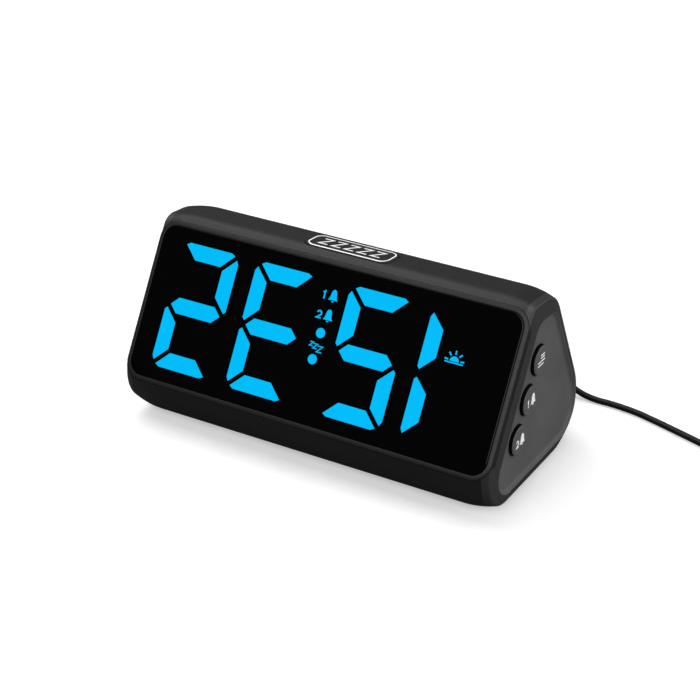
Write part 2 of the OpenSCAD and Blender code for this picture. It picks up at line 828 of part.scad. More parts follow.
// Quarter-turn lid with a coin slot and two lugs that lock over the base plate
module cell_lid() {
    color(black) translate([cell_at[0], cell_at[1], 0]) difference() {
        union() {
            translate([0, 0, base_z]) cylinder(r = lid_r, h = wall + 1.4, $fn = 64);
            intersection() {
                translate([0, 0, base_z + wall + 0.2]) cylinder(r = lug_r, h = 1.2, $fn = 64);
                translate([-well_r, -2.6, 0]) cube([2 * well_r, 5.2, 20]);
            }
        }
        translate([-7, -0.9, 0]) cube([14, 1.8, base_z + 1.3]);
    }
}

// ---- Lead ----

module strain_relief() {
    color("#1d1d1e") translate([exit_x, relief_y - 3.6, exit_z]) rotate([-90, 0, 0]) {
        cylinder(r = 3.3, h = 3.6 + 1.8, $fn = 32);
        translate([0, 0, 5.4]) cylinder(r1 = 2.9, r2 = 1.7, h = relief_len, $fn = 32);
    }
}

function unit(v) = v / norm(v);

function tangent(route, i) =
    unit(route[min(i + 1, len(route) - 1)] - route[max(i - 1, 0)]);

// Rings of points square to the route, kept level so that they don't twist
function ring_at(p, t, r, sides) =
    let (across = unit(cross([0, 0, 1], t)), over = cross(t, across))
    [for (j = [0:sides - 1]) let (a = 360 * (j + 0.5) / sides)
        p + r * (cos(a) * across + sin(a) * over)];

// A smooth curve through the route's points, with steps points between each two
function smooth_route(route, steps) = [
    for (i = [0:len(route) - 2], k = [0:steps - 1])
        let (
            p0 = route[max(i - 1, 0)], p1 = route[i], p2 = route[i + 1],
            p3 = route[min(i + 2, len(route) - 1)], u = k / steps
        )
        0.5 * (2 * p1 + (p2 - p0) * u + (2 * p0 - 5 * p1 + 4 * p2 - p3) * u * u
            + (3 * p1 - p0 - 3 * p2 + p3) * u * u * u),
    route[len(route) - 1]
];

module tube(route, r, sides) {
    points = [for (i = [0:len(route) - 1]) each ring_at(route[i], tangent(route, i), r, sides)];
    polyhedron(points, ring_faces(len(route), sides), convexity = 4);
}

module lead() {
    color("#1b1b1c") {
        tube(smooth_route(lead_route, 2), lead_d / 2, 8);
        tube(tail_route, lead_d / 2, 8);
    }
}

module lead_coil() {
    color("#1b1b1c") translate([coil_at[0], coil_at[1], coil_z]) rotate_extrude($fn = 64)
        translate([coil_mean_r, coil_h / 2]) polygon(rounded(coil_w, coil_h, 1.2, 3));
}

module lead_tie() {
    color("#303133") translate([coil_at[0] + coil_mean_r, coil_at[1] - tie_w / 2, coil_z + coil_h / 2])
        rotate([-90, 0, 0]) linear_extrude(tie_w) difference() {
            polygon(rounded(coil_w + 2 * tie_t, coil_h + 0.05, 1.4, 3));
            polygon(rounded(coil_w - 0.2, coil_h - 1, 1, 3));
        }
}

module plug_grip() {
    color("#1d1d1e") translate([tail_x, tail_y, plug_z]) rotate([-90, 0, 0]) {
        cylinder(r1 = 1.6, r2 = 2.6, h = 5, $fn = 28);
        translate([0, 0, 5]) linear_extrude(grip[1] - 5) polygon(rounded(grip[0], grip[2], 2.4, 6));
    }
}

module plug_shell() {
    color("silver") translate([tail_x, tail_y + grip[1], plug_z]) rotate([-90, 0, 0]) difference() {
        linear_extrude(shell[1]) polygon(rounded(shell[0], shell[2], 0.6, 3));
        translate([0, -0.2, 3]) linear_extrude(20) square([shell[0] - 0.8, 1.6], center = true);
    }
}

main_housing();
front_bezel();
end_cap_right();
end_cap_left();
base_plate();
rubber_feet();
base_screws();
display_lens();
diffuser_film();
reflector_block();
digit_1();
digit_2();
digit_3();
digit_4();
colon_windows();
mark_windows();
display_board();
segment_leds();
display_screws();
snooze_pad();
snooze_plunger();
snooze_springs();
snooze_bracket();
snooze_switch();
bracket_screws();
button_menu();
button_alarm_1();
button_alarm_2();
button_up();
button_down();
button_dimmer();
plunger_menu();
plunger_alarm_1();
plunger_alarm_2();
plunger_up();
plunger_down();
plunger_dimmer();
side_board_right();
side_board_left();
side_switches_right();
side_switches_left();
side_board_screws();
main_board();
control_chip();
crystal();
reservoir_capacitor();
buzzer();
ribbon_cable();
ribbon_sockets();
board_screws();
coin_cell();
cell_clip();
cell_lid();
strain_relief();
lead();
lead_coil();
lead_tie();
plug_grip();
plug_shell();
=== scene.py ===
"""Looks of a wedge-shaped LED alarm clock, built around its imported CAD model.

The clock's lengths are millimetres in the part's frame, and MM turns them into metres. The
camera, the floor and the lights are placed in metres.
"""
import json
from math import acos, atan2, ceil, cos, degrees, pi, radians, sin, sqrt

import bmesh
import bpy
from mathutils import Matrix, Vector


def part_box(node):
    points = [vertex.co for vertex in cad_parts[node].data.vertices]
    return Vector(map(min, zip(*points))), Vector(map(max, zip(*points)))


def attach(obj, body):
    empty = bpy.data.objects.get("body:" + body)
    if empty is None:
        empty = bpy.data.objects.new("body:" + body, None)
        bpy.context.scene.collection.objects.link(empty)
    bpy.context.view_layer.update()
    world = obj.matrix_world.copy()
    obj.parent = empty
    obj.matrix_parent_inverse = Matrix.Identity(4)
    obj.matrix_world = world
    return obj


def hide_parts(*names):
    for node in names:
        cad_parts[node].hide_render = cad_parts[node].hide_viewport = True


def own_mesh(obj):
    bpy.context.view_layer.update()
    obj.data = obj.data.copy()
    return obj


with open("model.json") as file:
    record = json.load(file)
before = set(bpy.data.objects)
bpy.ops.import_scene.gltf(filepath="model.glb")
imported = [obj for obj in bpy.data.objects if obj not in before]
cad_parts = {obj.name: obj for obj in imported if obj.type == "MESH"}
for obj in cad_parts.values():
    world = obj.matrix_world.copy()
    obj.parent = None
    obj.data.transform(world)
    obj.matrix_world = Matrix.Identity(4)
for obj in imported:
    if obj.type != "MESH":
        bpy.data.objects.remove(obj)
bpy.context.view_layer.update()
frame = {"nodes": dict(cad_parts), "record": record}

MM = 0.001
scene = bpy.context.scene

# ---------------------------------------------------------------- camera

CAMERA_AT = (0.3284, -0.5591, 0.3849)
CAMERA_DOWN, CAMERA_TURN = 28.394, 30.457

cam_data = bpy.data.cameras.new("camera")
cam_data.lens = 95.52
cam_data.sensor_width = 36.0
cam_data.clip_start = 0.02
cam_data.clip_end = 20.0
camera = bpy.data.objects.new("camera", cam_data)
camera.location = CAMERA_AT
camera.rotation_euler = (radians(90 - CAMERA_DOWN), 0.0, radians(CAMERA_TURN))
scene.collection.objects.link(camera)
scene.camera = camera

# ---------------------------------------------------------------- materials


def node(tree, kind, **values):
    """Adds a shader node, and sets its properties and, by name, its inputs."""
    made = tree.nodes.new("ShaderNode" + kind)
    for key, value in values.items():
        if hasattr(made, key):
            setattr(made, key, value)
        else:
            made.inputs[key.replace("_", " ")].default_value = value
    return made


def noise(tree, coords, scale, detail):
    made = node(tree, "TexNoise", Scale=scale, Detail=detail)
    tree.links.new(coords.outputs["Object"], made.inputs["Vector"])
    return made


def spread(tree, source, low, high):
    """Maps a noise's middle range onto low to high."""
    made = node(tree, "MapRange", From_Min=0.3, From_Max=0.7, To_Min=low, To_Max=high)
    tree.links.new(source.outputs["Fac"], made.inputs["Value"])
    return made


def shade(colour, share):
    return (*[min(1.0, c * share) for c in colour], 1)


def surface(name, colour, rough, grain=1500.0, bump=0.12, vary=0.10, rough_vary=0.05,
            metallic=0.0, specular=0.5, emission=None, strength=0.0):
    """A moulded, coated or metal surface: fine grain, and slow changes of colour and roughness."""
    mat = bpy.data.materials.new(name)
    mat.use_nodes = True
    tree = mat.node_tree
    shader = tree.nodes["Principled BSDF"]
    coords = node(tree, "TexCoord")
    mix = node(tree, "Mix", data_type="RGBA")
    mix.inputs["A"].default_value = shade(colour, 1 - vary)
    mix.inputs["B"].default_value = shade(colour, 1 + vary)
    cloud = noise(tree, coords, 60.0, 3.0)
    tree.links.new(spread(tree, cloud, 0.0, 1.0).outputs["Result"], mix.inputs["Factor"])
    tree.links.new(mix.outputs["Result"], shader.inputs["Base Color"])
    fine = noise(tree, coords, grain, 2.0)
    roughness = spread(tree, fine, rough - rough_vary, rough + rough_vary)
    tree.links.new(roughness.outputs["Result"], shader.inputs["Roughness"])
    if bump:
        relief = node(tree, "Bump", Strength=bump, Distance=0.00006)
        tree.links.new(fine.outputs["Fac"], relief.inputs["Height"])
        tree.links.new(relief.outputs["Normal"], shader.inputs["Normal"])
    shader.inputs["Metallic"].default_value = metallic
    shader.inputs["Specular IOR Level"].default_value = specular
    if emission:
        glow = node(tree, "Mix", data_type="RGBA")
        glow.inputs["A"].default_value = shade(emission, 0.9)
        glow.inputs["B"].default_value = shade(emission, 1.0)
        tree.links.new(cloud.outputs["Fac"], glow.inputs["Factor"])
        tree.links.new(glow.outputs["Result"], shader.inputs["Emission Color"])
        shader.inputs["Emission Strength"].default_value = strength
    return mat


CASING = surface("casing_plastic", (0.009, 0.009, 0.0095), 0.5, specular=0.45)
BEZEL = surface("bezel_plastic", (0.009, 0.009, 0.0095), 0.46, specular=0.45)
# A darker copy of the end panel's plastic for the end's rounded edge and rim: painted shade for the
# rim, which turns away from the light at the side.
RIM_PAINTED_SHADE = surface("rim_plastic_painted_shade", (0.034, 0.034, 0.0345), 0.45)
PANEL = surface("panel_soft_touch", (0.12, 0.12, 0.122), 0.6)
BUTTON_FACE = surface("button_face", (0.12, 0.12, 0.122), 0.6)
# Near black for the buttons' stems, flanges and side walls: painted shade standing in for the shadow
# in the gap round each button.
BUTTON_SIDE_PAINTED_SHADE = surface("button_side_painted_shade", (0.002, 0.002, 0.002), 0.5, specular=0.1)
LENS = surface("tinted_lens", (0.0004, 0.0004, 0.0005), 0.07, grain=900.0, bump=0.0,
               rough_vary=0.02, specular=0.1)
LIT = surface("lit_window", (0.0, 0.004, 0.006), 0.25, bump=0.0, specular=0.05,
              emission=(0.0, 0.53, 1.0), strength=1.0)
# White print in its own colour, given a weak emission: a painted glow that brightens it beyond what
# the lamps give.
PRINT_WITH_PAINTED_GLOW = surface("white_print_painted_glow", (0.93, 0.93, 0.92), 0.5, bump=0.05, vary=0.03,
                emission=(1.0, 1.0, 1.0), strength=0.25)
WHITE = surface("white_plastic", (0.74, 0.74, 0.70), 0.45)
GREY = surface("grey_plastic", (0.05, 0.05, 0.055), 0.5)
BOARD = surface("solder_mask", (0.015, 0.10, 0.04), 0.3, grain=500.0)
EPOXY = surface("black_epoxy", (0.02, 0.02, 0.02), 0.4)
STEEL = surface("plated_steel", (0.62, 0.62, 0.63), 0.28, grain=700.0, metallic=1.0)
BRASS = surface("plated_brass", (0.75, 0.55, 0.25), 0.3, grain=700.0, metallic=1.0)
RUBBER = surface("foot_rubber", (0.018, 0.018, 0.018), 0.75, bump=0.25)
JACKET = surface("lead_jacket", (0.006, 0.006, 0.0065), 0.42, grain=900.0, bump=0.08, specular=0.3)

SLOT_MATERIALS = {
    "casing": CASING, "bezel": BEZEL, "end_panel": PANEL, "button": BUTTON_FACE, "lens": LENS,
    "light_window": LIT, "white_plastic": WHITE, "grey_plastic": GREY, "board": BOARD,
    "electronic_part": EPOXY, "steel": STEEL, "contact_brass": BRASS, "rubber": RUBBER, "lead": JACKET,
}
for entry in frame["record"]["subparts"]:
    cad = frame["nodes"][entry["node"]]
    cad.data.materials.clear()
    cad.data.materials.append(SLOT_MATERIALS[entry["material_slot"]])

# ---------------------------------------------------------------- mesh helpers


def tidy(made, sharp):
    """Merges doubled points, turns the faces outwards, and marks the sharp edges."""
    work = bmesh.new()
    work.from_mesh(made.data)
    bmesh.ops.remove_doubles(work, verts=work.verts, dist=1e-7)
    bmesh.ops.recalc_face_normals(work, faces=work.faces)
    work.to_mesh(made.data)
    work.free()
    made.data.polygons.foreach_set("use_smooth", [True] * len(made.data.polygons))
    made.data.set_sharp_from_angle(angle=radians(sharp))


def piece(name, verts, faces, materials, body="clock_body", indices=None, sharp=32.0,
          replaces=(), slot=None):
    """Makes an object from vertices in millimetres, smooth but for edges sharper than the angle."""
    mesh = bpy.data.meshes.new(name)
    mesh.from_pydata([(x * MM, y * MM, z * MM) for x, y, z in verts], [], faces)
    made = bpy.data.objects.new(name, mesh)
    scene.collection.objects.link(made)
    for mat in materials:
        mesh.materials.append(mat)
    if indices:
        mesh.polygons.foreach_set("material_index", indices)
    tidy(made, sharp)
    if body:
        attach(made, body)
    if replaces:
        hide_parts(*replaces)
    return made


def loft(rings, round_trip=False):
    """Joins equal rings of points one after another, and gives the points and the faces. Its ends
    are capped, or else, on a round trip, the last ring joins the first."""
    n = len(rings[0])
    verts = [p for ring in rings for p in ring]
    faces = []
    for i in range(len(rings) if round_trip else len(rings) - 1):
        a, b = i * n, (i + 1) % len(rings) * n
        faces += [(a + j, a + (j + 1) % n, b + (j + 1) % n, b + j) for j in range(n)]
    if not round_trip:
        faces.append(tuple(range(n)))
        faces.append(tuple(range((len(rings) - 1) * n, len(rings) * n)))
    return verts, faces


def cutter(rings):
    return piece("cutter", *loft(rings), [], body=None)


def cut(made, cutters, sharp=32.0):
    """Takes the cutters' shapes away from an object, and removes them."""
    for tool in cutters:
        mod = made.modifiers.new("cut", "BOOLEAN")
        mod.operation = "DIFFERENCE"
        mod.solver = "EXACT"
        mod.object = tool
    bpy.context.view_layer.update()
    graph = bpy.context.evaluated_depsgraph_get()
    mesh = bpy.data.meshes.new_from_object(made.evaluated_get(graph))
    made.modifiers.clear()
    old = made.data
    made.data = mesh
    mesh.name = made.name
    bpy.data.meshes.remove(old)
    for tool in cutters:
        data = tool.data
        bpy.data.objects.remove(tool)
        bpy.data.meshes.remove(data)
    tidy(made, sharp)


def circle(r, steps):
    """Points round a circle about its middle."""
    angles = [2 * pi * i / steps for i in range(steps)]
    return [(r * cos(a), r * sin(a)) for a in angles]


def rounded(w, h, r, steps=10):
    """A rectangle's outline with round corners, about its middle."""
    points = []
    for k, (cx, cy) in enumerate([(w / 2 - r, h / 2 - r), (r - w / 2, h / 2 - r),
                                  (r - w / 2, r - h / 2), (w / 2 - r, r - h / 2)]):
        for i in range(steps + 1):
            a = radians(90 * (k + i / steps))
            points.append((cx + r * cos(a), cy + r * sin(a)))
    return points


def prism(points, low, high, place):
    """A straight cutter over an outline, each point put in place by place(a, b, height)."""
    return cutter([[place(a, b, h) for a, b in points] for h in (low, high)])


# ---------------------------------------------------------------- casing outline

HALF_W = 82.2
END_BLEND = 13.4
FACE_Y, FACE_Z = -25.4, 48.6
LEAN, REAR_LEAN, RIDGE_SLOPE = 31.0, 27.0, 6.0
LENS_W, LENS_H, LENS_R = 160.0, 62.0, 6.0
BEZEL_OUT = 1.9
SEAM_GAP, SEAM_DEPTH = 0.1, 0.42
# The window's side, the ridge, the rear slope and the bottom: the angles of their normals, how far
# they lie from the window's centre at the ends of the clock, and how much farther in the middle
SIDE_ANGLES = [180 - LEAN, 90 - RIDGE_SLOPE, REAR_LEAN, -90]
SIDE_OFFSETS = [-0.5, 30.4, 45.5, 45.2]
SIDE_RISES = [0.0, 1.8, 2.8, 2.2]
# The radius of the corner that follows each side
CORNER_RADII = [6.3, 15.4, 19.4, 16.2]
# How far inside each side an end panel's recess lies, and the radii of its corners
RECESS_INSETS = [8.6, 7.4, 3.0, 3.6]
RECESS_RADII = [7.0, 7.0, 13.0, 10.0]
ARC_STEPS = [14, 18, 22, 26]
FACE_S = Vector((sin(radians(LEAN)), cos(radians(LEAN))))
FACE_N = Vector((-cos(radians(LEAN)), sin(radians(LEAN))))


def polar(r, degree):
    return Vector((r * cos(radians(degree)), r * sin(radians(degree))))


def meet(a1, d1, a2, d2):
    """Where two lines meet, each given by its normal's angle and its distance."""
    n1, n2 = polar(1, a1), polar(1, a2)
    det = n1.x * n2.y - n1.y * n2.x
    return Vector(((d1 * n2.y - d2 * n1.y) / det, (n1.x * d2 - n2.x * d1) / det))


def opened(x):
    """How far the casing has swelled at x, from 0 at its ends to 1 in its middle."""
    f = min(1.0, (HALF_W - abs(x)) / END_BLEND)
    return 1 - (1 - f) ** 2


def outline(offsets, radii, front=None):
    """A rounded four-sided outline about the window's centre, as (y, z) offsets. front gives two
    points before the window's plane that it reaches out to, and without them its front is straight."""
    points = []
    for k in range(4):
        m = (k + 1) % 4
        a0 = SIDE_ANGLES[k]
        a1 = SIDE_ANGLES[m] - (360 if k == 3 else 0)
        r = radii[k]
        c = meet(a0, offsets[k] - r, SIDE_ANGLES[m], offsets[m] - r)
        if front and k in (0, 3):
            v = (front[0] if k == 0 else front[1]) - c
            away = degrees(acos(min(1.0, r / v.length)))
            bearing = degrees(atan2(v.y, v.x))
            if k == 0:
                a0 = min(a0, bearing - away)
            else:
                a1 = max(a1, bearing - 360 + away)
        steps = ARC_STEPS[k]
        points += [c + polar(r, a0 + (a1 - a0) * i / steps) for i in range(steps + 1)]
    if front:
        return [front[0]] + points + [front[1]]
    first, last = points[0], points[-1]
    return [first.lerp(last, 0.3)] + points + [first.lerp(last, 0.7)]


def seam_reach(x):
    """How far up the window's plane the bezel's outer edge reaches at x."""
    corner = abs(x) - (LENS_W / 2 - LENS_R)
    r = LENS_R + BEZEL_OUT + SEAM_GAP
    return LENS_H / 2 - LENS_R + (r if corner <= 0 else sqrt(max(0.0, r * r - corner * corner)))


def skin(x, inset=0.0):
    """The casing's outline at x."""
    offsets = [o + rise * opened(x) - inset for o, rise in zip(SIDE_OFFSETS, SIDE_RISES)]
    reach = seam_reach(x)
    front = [FACE_S * (side * reach) + FACE_N * (-SEAM_DEPTH - inset) for side in (1, -1)]
    return outline(offsets, [r - inset for r in CORNER_RADII], front)


def at(x, points):
    return [(x, p.x + FACE_Y, p.y + FACE_Z) for p in points]


def on_face(x, s, n):
    """A point x across the window, s up its slope and n down behind its plane."""
    return (x, FACE_Y + FACE_S.x * s - FACE_N.x * n, FACE_Z + FACE_S.y * s - FACE_N.y * n)


def window_ring(out, n):
    """The window's outline, grown by out and n down behind its plane."""
    shape = rounded(LENS_W + 2 * out, LENS_H + 2 * out, LENS_R + out, 14)
    return [on_face(x, s, n) for x, s in shape]


def pocket():
    """A cutter that clears the bezel's place."""
    return cutter([window_ring(BEZEL_OUT + SEAM_GAP, n) for n in (4.1, -8.0)])


# ---------------------------------------------------------------- lead

LEAD_D = 2.6
TURN_GAP = 2.7
FLOOR_Z = LEAD_D / 2 + 0.05
LEAD_EXIT = (44.0, 56.4, 14.0)
LEAD_ROUTE = [
    LEAD_EXIT, (44.2, 59.6, 14), (45.6, 63.3, 13.8), (48, 66.4, 13.1), (51.3, 68.5, 11.9),
    (55.1, 69.3, 10.2), (59.2, 69, 8), (63.5, 68.2, 5.7), (68, 67.4, 3.6), (73, 66.9, 2.1),
    (78.5, 66.8, FLOOR_Z), (84.5, 66.8, FLOOR_Z), (91, 66.3, FLOOR_Z), (98, 65.2, FLOOR_Z),
    (107, 62.7, FLOOR_Z), (117, 59.6, FLOOR_Z), (127, 56.4, FLOOR_Z), (136, 53.3, FLOOR_Z),
    (144, 51.65, FLOOR_Z),
]
COIL_AT = (152.0, 70.17)
COIL_R = 15.217
TURNS = 14.25
TURN_POINTS = 24
LAYERS, LAYER_TURNS = 4, 3.5
# The place in a turn of each kind of move between the coil's tracks, and the share it takes
STEP_IN, STEP_OUT, STEP_UP, STEP_SHARE = 0.872, 0.417, 0.167, 0.2167
# The last move outwards, in turns, which takes the lead clear of the coil
LEAVE_AT, LEAVE_SHARE = 13.96, 0.13
TAIL = 11.0
# Where the lead starts to come down to the plug, before its end, and over what length
FALL_START, FALL_LENGTH = 29, 27
PLUG_Z = 4.1


def ease(t):
    t = min(1.0, max(0.0, t))
    return t * t * (3 - 2 * t)


def smooth_path(points, steps):
    """A smooth curve through the points, which leaves out the last stretch's end."""
    out = []
    for i in range(len(points) - 1):
        p0, p1 = Vector(points[max(i - 1, 0)]), Vector(points[i])
        p2, p3 = Vector(points[i + 1]), Vector(points[min(i + 2, len(points) - 1)])
        for k in range(steps):
            u = k / steps
            out.append(0.5 * (2 * p1 + (p2 - p0) * u + (2 * p0 - 5 * p1 + 4 * p2 - p3) * u * u
                              + (3 * p1 - p0 - 3 * p2 + p3) * u ** 3))
    return out


def coil_moves():
    """When the winding moves to its next track, in turns, and whether it moves out or up. Its
    layers run inwards and outwards by turns, with three moves in each."""
    moves = []
    for layer in range(LAYERS):
        place, out = (STEP_IN, -1) if layer % 2 == 0 else (STEP_OUT, 1)
        first = ceil(LAYER_TURNS * layer)
        moves += [(first + k + place, out, 0) for k in range(3)]
        if layer < LAYERS - 1:
            moves.append((LAYER_TURNS * (layer + 1) + STEP_UP, 0, 1))
    return moves


def winding():
    """The coil's centre line, from where the lead joins it to where its tail leaves."""
    moves = coil_moves()
    points = []
    for i in range(round(TURNS * TURN_POINTS) + 1):
        t = i / TURN_POINTS
        r, z = COIL_R + 1.5 * TURN_GAP, FLOOR_Z
        for when, out, up in moves:
            share = ease((t - when) / STEP_SHARE + 0.5)
            r += out * TURN_GAP * share
            z += up * TURN_GAP * share
        r += (TURN_GAP + 0.1) * ease((t - LEAVE_AT) / LEAVE_SHARE)
        a = 2 * pi * t - pi / 2
        points.append(Vector((COIL_AT[0] + r * cos(a), COIL_AT[1] + r * sin(a), z)))
    return points


def lead_path():
    """The lead's centre line from the strain relief to the plug, and its length."""
    coil = winding()
    run = smooth_path(LEAD_ROUTE + [coil[0], coil[1]], 4)[:-4]
    top = coil[-1]
    tail = [Vector((top.x, COIL_AT[1] + TAIL * f, top.z)) for f in (0.25, 0.5, 0.75, 1.0)]
    path = run + coil[1:] + tail
    length = [0.0]
    for a, b in zip(path, path[1:]):
        length.append(length[-1] + (b - a).length)
    fall = top.z - PLUG_Z
    for p, along in zip(path, length):
        p.z -= fall * ease((along - length[-1] + FALL_START) / FALL_LENGTH)
    return path, length[-1]


def tube(path, radius, sides=14):
    """Rings of points square to a path, turned as little as possible from one to the next."""
    rings = []
    across = None
    for i, p in enumerate(path):
        along = (path[min(i + 1, len(path) - 1)] - path[max(i - 1, 0)]).normalized()
        if across is None:
            across = Vector((0, 0, 1)).cross(along)
        across = (across - along * across.dot(along)).normalized()
        over = along.cross(across)
        rings.append([tuple(p + across * a + over * b) for a, b in circle(radius, sides)])
    return rings


path, lead_length = lead_path()
lead = piece("lead_flex", *loft(tube(path, LEAD_D / 2)), [JACKET],
             replaces=("lead", "lead_coil"), slot="lead", sharp=60.0)

RELIEF_Y = 39.6
RELIEF_RIBS = 6


def relief_profile():
    """Places along the strain relief and its radii there: a collar, slotted ribs and a thin end."""
    profile = [(-5.0, 3.25), (1.4, 3.25), (1.8, 2.9)]
    for k in range(RELIEF_RIBS):
        y0 = 2.2 + 2.1 * k
        r = 2.85 - 0.17 * k
        profile += [(y0, r), (y0 + 0.25, r + 0.12), (y0 + 1.05, r + 0.1), (y0 + 1.3, r - 0.05),
                    (y0 + 1.38, r - 0.55), (y0 + 1.95, r - 0.6)]
    return profile + [(14.9, 1.95), (16.4, 1.75), (16.8, 1.5)]


relief_rings = [[(LEAD_EXIT[0] + a, RELIEF_Y + y, LEAD_EXIT[2] + b) for a, b in circle(r, 32)]
                for y, r in relief_profile()]
relief = piece("strain_relief_boot", *loft(relief_rings), [JACKET], replaces=("strain_relief",),
               slot="lead", sharp=50.0)

# Each section's place past the lead's end, its width, its height and its corners' radius
GRIP_SECTIONS = [
    (0.0, 3.2, 3.2, 1.58), (1.5, 3.7, 3.7, 1.8), (3.0, 4.3, 4.2, 2.0), (4.6, 5.6, 4.9, 2.2),
    (5.4, 9.0, 6.0, 2.6), (6.4, 12.0, 7.1, 2.9), (7.6, 13.6, 7.7, 2.8), (9.0, 14.2, 7.9, 2.6),
    (11.0, 14.4, 8.0, 2.5), (20.8, 14.4, 8.0, 2.5), (21.6, 14.1, 7.7, 2.3), (22.0, 13.2, 6.8, 1.9),
]
SHELL_SECTIONS = [
    (21.5, 12.0, 4.5, 0.6), (33.6, 12.0, 4.5, 0.6), (33.95, 11.8, 4.3, 0.6),
    (34.0, 11.4, 3.9, 0.35), (33.5, 11.4, 3.9, 0.35), (27.0, 11.4, 3.9, 0.35),
]
TONGUE_SECTIONS = [(26.0, 11.0, 1.8, 0.2), (33.2, 11.0, 1.8, 0.2)]
TONGUE_DROP = 0.85


def plug_rings(sections, steps, drop=0.0):
    """The plug's rounded sections past the lead's end, drop below its middle."""
    end = path[-1]
    return [[(end.x + a, end.y + y, PLUG_Z - drop + b) for a, b in rounded(w, h, r, steps)]
            for y, w, h, r in sections]


grip = piece("plug_grip_body", *loft(plug_rings(GRIP_SECTIONS, 6)), [JACKET],
             replaces=("plug_grip",), slot="lead", sharp=40.0)
shell = piece("plug_shell_tube", *loft(plug_rings(SHELL_SECTIONS, 4)), [STEEL],
              replaces=("plug_shell",), slot="steel")
tongue = piece("plug_tongue", *loft(plug_rings(TONGUE_SECTIONS, 2, TONGUE_DROP)), [WHITE],
               slot="white_plastic")

# A flat band round the coil's section on its far side
TIE_Z = 5.45
TIE_SECTIONS = [(-2.0, 11.5, 10.6), (-1.85, 12.0, 10.85), (1.85, 12.0, 10.85), (2.0, 11.5, 10.6)]
tie_rings = [[(COIL_AT[0] + COIL_R + a, COIL_AT[1] + y, TIE_Z + b) for a, b in rounded(w, h, 1.6, 5)]
             for y, w, h in TIE_SECTIONS]
tie = piece("lead_tie_band", *loft(tie_rings), [GREY], replaces=("lead_tie",), slot="lead")
[tuple(p * MM) for p in path]

# ---------------------------------------------------------------- main housing

SEAM_X = 79.0
END_PITCH, END_RINGS = 0.85, 12
MID_X, MID_PITCH, MID_RINGS = 68.8, 8.6, 17
WALL = 2.4
# Past here the hollow's outline stays the same
HOLLOW_X = 77.0
PAD_Y0, PAD_Y1 = -4.6, 6.8
PAD_MID = (PAD_Y0 + PAD_Y1) / 2
PLATE_MID = -1.7
FOOT_XS, FOOT_YS = (-72.5, 72.5), (-22.4, 14.6)
VENT_X, VENT_DOWN, VENT_PITCH = -42.0, 3.0, 3.6
# Rounded holes' widths, lengths and corner radii, and round holes' radii
PAD_HOLE, PLATE_HOLE, VENT_SLIT = (38.6, 12.0, 3.3), (130.2, 39.6, 5.1), (1.6, 18.0, 0.79)
LEAD_HOLE_R, FOOT_R, HOLE_STEPS = 3.4, 4.5, 40


def rear_point(a, b, h):
    """A point on the rear slope: a across, b up it, h out from the window's centre."""
    out, up = polar(1, REAR_LEAN), polar(1, REAR_LEAN + 90)
    return (a, FACE_Y + out.x * h + up.x * b, FACE_Z + out.y * h + up.y * b)


def vent(i):
    slit = [(x + VENT_X + VENT_PITCH * i, y - VENT_DOWN) for x, y in rounded(*VENT_SLIT, 6)]
    return prism(slit, 40.0, 60.0, rear_point)


end_xs = [SEAM_X - END_PITCH * i for i in range(END_RINGS)]
mid_xs = [MID_X - MID_PITCH * i for i in range(MID_RINGS)]
housing_xs = end_xs + mid_xs + [-x for x in reversed(end_xs)]
housing = piece("housing_shell", *loft([at(x, skin(x)) for x in housing_xs]), [CASING],
                replaces=("main_housing",), slot="casing")
hollow_xs = [80.0, 77.0, 74.0, 71.0, 68.0]
hollow = cutter([at(x, skin(min(HOLLOW_X, max(-HOLLOW_X, x)), WALL))
                 for x in hollow_xs + [-x for x in reversed(hollow_xs)]])
pad_hole = prism(rounded(*PAD_HOLE), 60.0, 100.0, lambda a, b, h: (a, b + PAD_MID, h))
plate_hole = prism(rounded(*PLATE_HOLE), -5.0, 8.0, lambda a, b, h: (a, b + PLATE_MID, h))
lead_hole = prism(circle(LEAD_HOLE_R, HOLE_STEPS), 25.0, 60.0,
                  lambda a, b, h: (LEAD_EXIT[0] + a, h, LEAD_EXIT[2] + b))
feet = [prism(circle(FOOT_R, HOLE_STEPS), -1.0, 2.0, lambda a, b, h: (x + a, y + b, h))
        for x in FOOT_XS for y in FOOT_YS]
vents = [vent(i) for i in range(-3, 4)]
cut(housing, [hollow, pocket(), pad_hole, plate_hole, lead_hole] + feet + vents)

# ---------------------------------------------------------------- bezel and window

# Sections through the bezel and the window's edge: out from the window's outline, and down
BEZEL_SECTION = [
    (-2.5, 4.0), (-2.5, 2.05), (0.06, 2.05), (0.06, 0.2), (0.16, 0.1), (0.3, 0.08), (1.6, 0.36),
    (1.78, SEAM_DEPTH), (1.87, 0.5), (BEZEL_OUT, 0.66), (BEZEL_OUT, 4.0),
]
LENS_SECTION = [(0.0, 2.0), (0.0, 0.22), (-0.03, 0.12), (-0.1, 0.04), (-0.2, 0.0), (-0.6, 0.0)]
piece("bezel_frame", *loft([window_ring(*point) for point in BEZEL_SECTION], round_trip=True),
      [BEZEL], replaces=("front_bezel",), slot="bezel", sharp=50.0)
piece("window_plate", *loft([window_ring(*point) for point in LENS_SECTION]), [LENS],
      replaces=("display_lens",), slot="lens", sharp=60.0)

# ---------------------------------------------------------------- end caps

# The middle button's place up the window's slope and behind its plane, and the way to the next
BUTTON_UP, BUTTON_BEHIND, BUTTON_PITCH = 0.9, 19.6, 15.5
BUTTON_STEPS = 64
BUTTON_HOLE_R = 6.3
CAP_EDGE, CAP_RISE = 0.75, 0.35
# Where along the clock the cap's rounded edge takes its outline
CAP_EDGE_X = HALF_W - 0.6
# How the rim rises from the edge to the recess: shares of its way in, and of its rise
RIM_CURVE = [(0.3, 0.55), (0.62, 0.86), (0.85, 0.98)]
